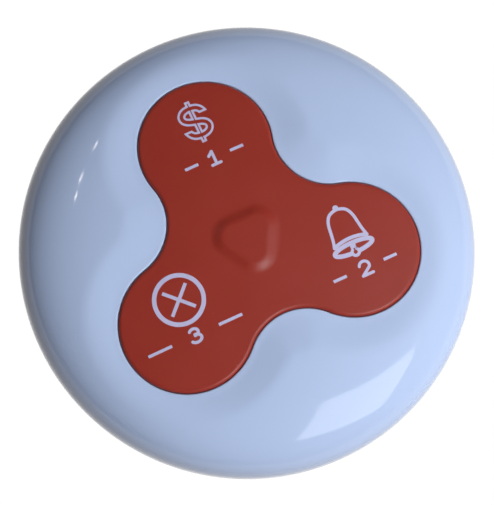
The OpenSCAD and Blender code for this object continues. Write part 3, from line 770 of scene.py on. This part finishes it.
def give(piece, material):
    piece.data.materials.clear()
    piece.data.materials.append(material)


give(cover, materials["white_gloss"])
for piece in (middle, *key_skins.values()):
    give(piece, materials["red_silicone"])
for key in KEYS:
    for kind in ("sign", "number"):
        give(bpy.data.objects[f"{key}_{kind}"], materials["print_white"])
slots = {s["node"]: s["material_slot"] for s in frame["record"]["subparts"]}
for name, node in frame["nodes"].items():
    for slot in node.material_slots:
        slot.material = materials[slots[name]]

# ---- Camera, at the photograph's viewing angle ----
AZIMUTH, ELEVATION, ROLL = math.radians(-31.8), math.radians(80.3), math.radians(-7.15)
DISTANCE = 229.2
TARGET_Z = 9.5
target = Vector((0, 0, TARGET_Z * MM))
toward = Vector((math.cos(ELEVATION) * math.sin(AZIMUTH),
                 -math.cos(ELEVATION) * math.cos(AZIMUTH), math.sin(ELEVATION)))
level = Vector((math.cos(AZIMUTH), math.sin(AZIMUTH), 0))
upright = toward.cross(level)
image_x = math.cos(ROLL) * level - math.sin(ROLL) * upright
image_y = math.sin(ROLL) * level + math.cos(ROLL) * upright
# Turns picture axes, which run right, up and towards the camera, into the object's
picture_axes = Matrix((image_x, image_y, toward)).transposed()
camera = new_object("camera", bpy.data.cameras.new("camera"))
camera.matrix_world = (Matrix.Translation(target + toward * DISTANCE * MM)
                       @ picture_axes.to_4x4())
camera.data.sensor_width = 36
camera.data.lens = 93.46
camera.data.shift_x = 0.0003
camera.data.shift_y = -0.0026
camera.data.clip_start = 0.01
bpy.context.scene.camera = camera

# ---- Floor, world and lamps, in metres ----
FLOOR = 3.0
floor_mesh = bpy.data.meshes.new("floor")
corners = [(x * FLOOR, y * FLOOR, 0) for x, y in ((-1, -1), (1, -1), (1, 1), (-1, 1))]
floor_mesh.from_pydata(corners, [], [(0, 1, 2, 3)])
floor = new_object("floor", floor_mesh)


def seen_directly(tree):
    """1 for rays from the camera, and for those that gloss and glass send on."""
    path = add_node(tree, "LightPath")
    out = path.outputs["Is Camera Ray"]
    for other in ("Is Glossy Ray", "Is Transmission Ray"):
        out = add_node(tree, "Math", {0: out, 1: path.outputs[other]},
                       operation="MAXIMUM").outputs[0]
    return out


# Where the floor is seen directly, GLOW_SHARE of it is an even white glow. The rest takes the
# light, and so the object's shadow.
GLOW, GLOW_SHARE = 1.07, 0.94
floor_material = bpy.data.materials.new("floor")
floor_material.use_nodes = True
tree = floor_material.node_tree
tree.nodes.clear()
diffuse = add_node(tree, "BsdfDiffuse", {"Color": rgb(126, 106, 102)})
glow = add_node(tree, "Emission", {"Strength": GLOW})
share = add_node(tree, "Math", {0: seen_directly(tree), 1: GLOW_SHARE}, operation="MULTIPLY")
blend = add_node(tree, "MixShader", {0: share.outputs[0], 1: diffuse.outputs[0],
                                     2: glow.outputs[0]})
add_node(tree, "OutputMaterial", {0: blend.outputs[0]})
floor_mesh.materials.append(floor_material)

world = bpy.data.worlds.new("studio")
bpy.context.scene.world = world
world.use_nodes = True
background = world.node_tree.nodes["Background"]
background.inputs["Color"].default_value = (1.0, 0.87, 0.86, 1)
background.inputs["Strength"].default_value = 0.05


def lamp(name, way, distance, size, radiance, colour, along=(1, 0, 0), glossy=True):
    """A soft panel that faces the object.

    way points from the object to the panel and along runs along its first side, both in picture
    axes. A lamp that isn't glossy lights the object but isn't mirrored in it.
    """
    light = bpy.data.lights.new(name, "AREA")
    light.shape = "RECTANGLE"
    light.size, light.size_y = size
    light.energy = radiance * math.pi * size[0] * size[1]
    light.color = colour
    back = (picture_axes @ Vector(way)).normalized()
    sideways = picture_axes @ Vector(along)
    sideways = (sideways - sideways.dot(back) * back).normalized()
    panel = new_object(name, light)
    panel.matrix_world = Matrix.Translation(target + distance * back) @ Matrix(
        (sideways, back.cross(sideways), back)).transposed().to_4x4()
    panel.visible_glossy = glossy


FAR = 0.9
lamp("key", (0.62, -0.01, 0.78), 0.33, (0.3, 0.3), 3.5, (0.95, 0.98, 1.0), glossy=False)
lamp("window", (0.49, -0.38, 0.78), FAR, (0.46, 0.43), 3.9, (0.95, 0.97, 1.0),
     along=(0.455, 0.06, -0.215))
# Small lamps far away, each mirrored as a glint at the left or at the bottom: way and length
GLINTS = (((-0.44, 0.59, 0.68), 0.022), ((-0.477, 0.487, 0.732), 0.024),
          ((-0.492, 0.43, 0.757), 0.03), ((-0.31, -0.78, 0.55), 0.014))
GLINT_W = 0.01
for way, length in GLINTS:
    lamp("glint", way, FAR, (length, GLINT_W), 32, (1.0, 0.9, 0.84), along=(-0.05, -0.16, 0.08))

bpy.context.scene.view_settings.view_transform = "Standard"

bpy.context.view_layer.update()
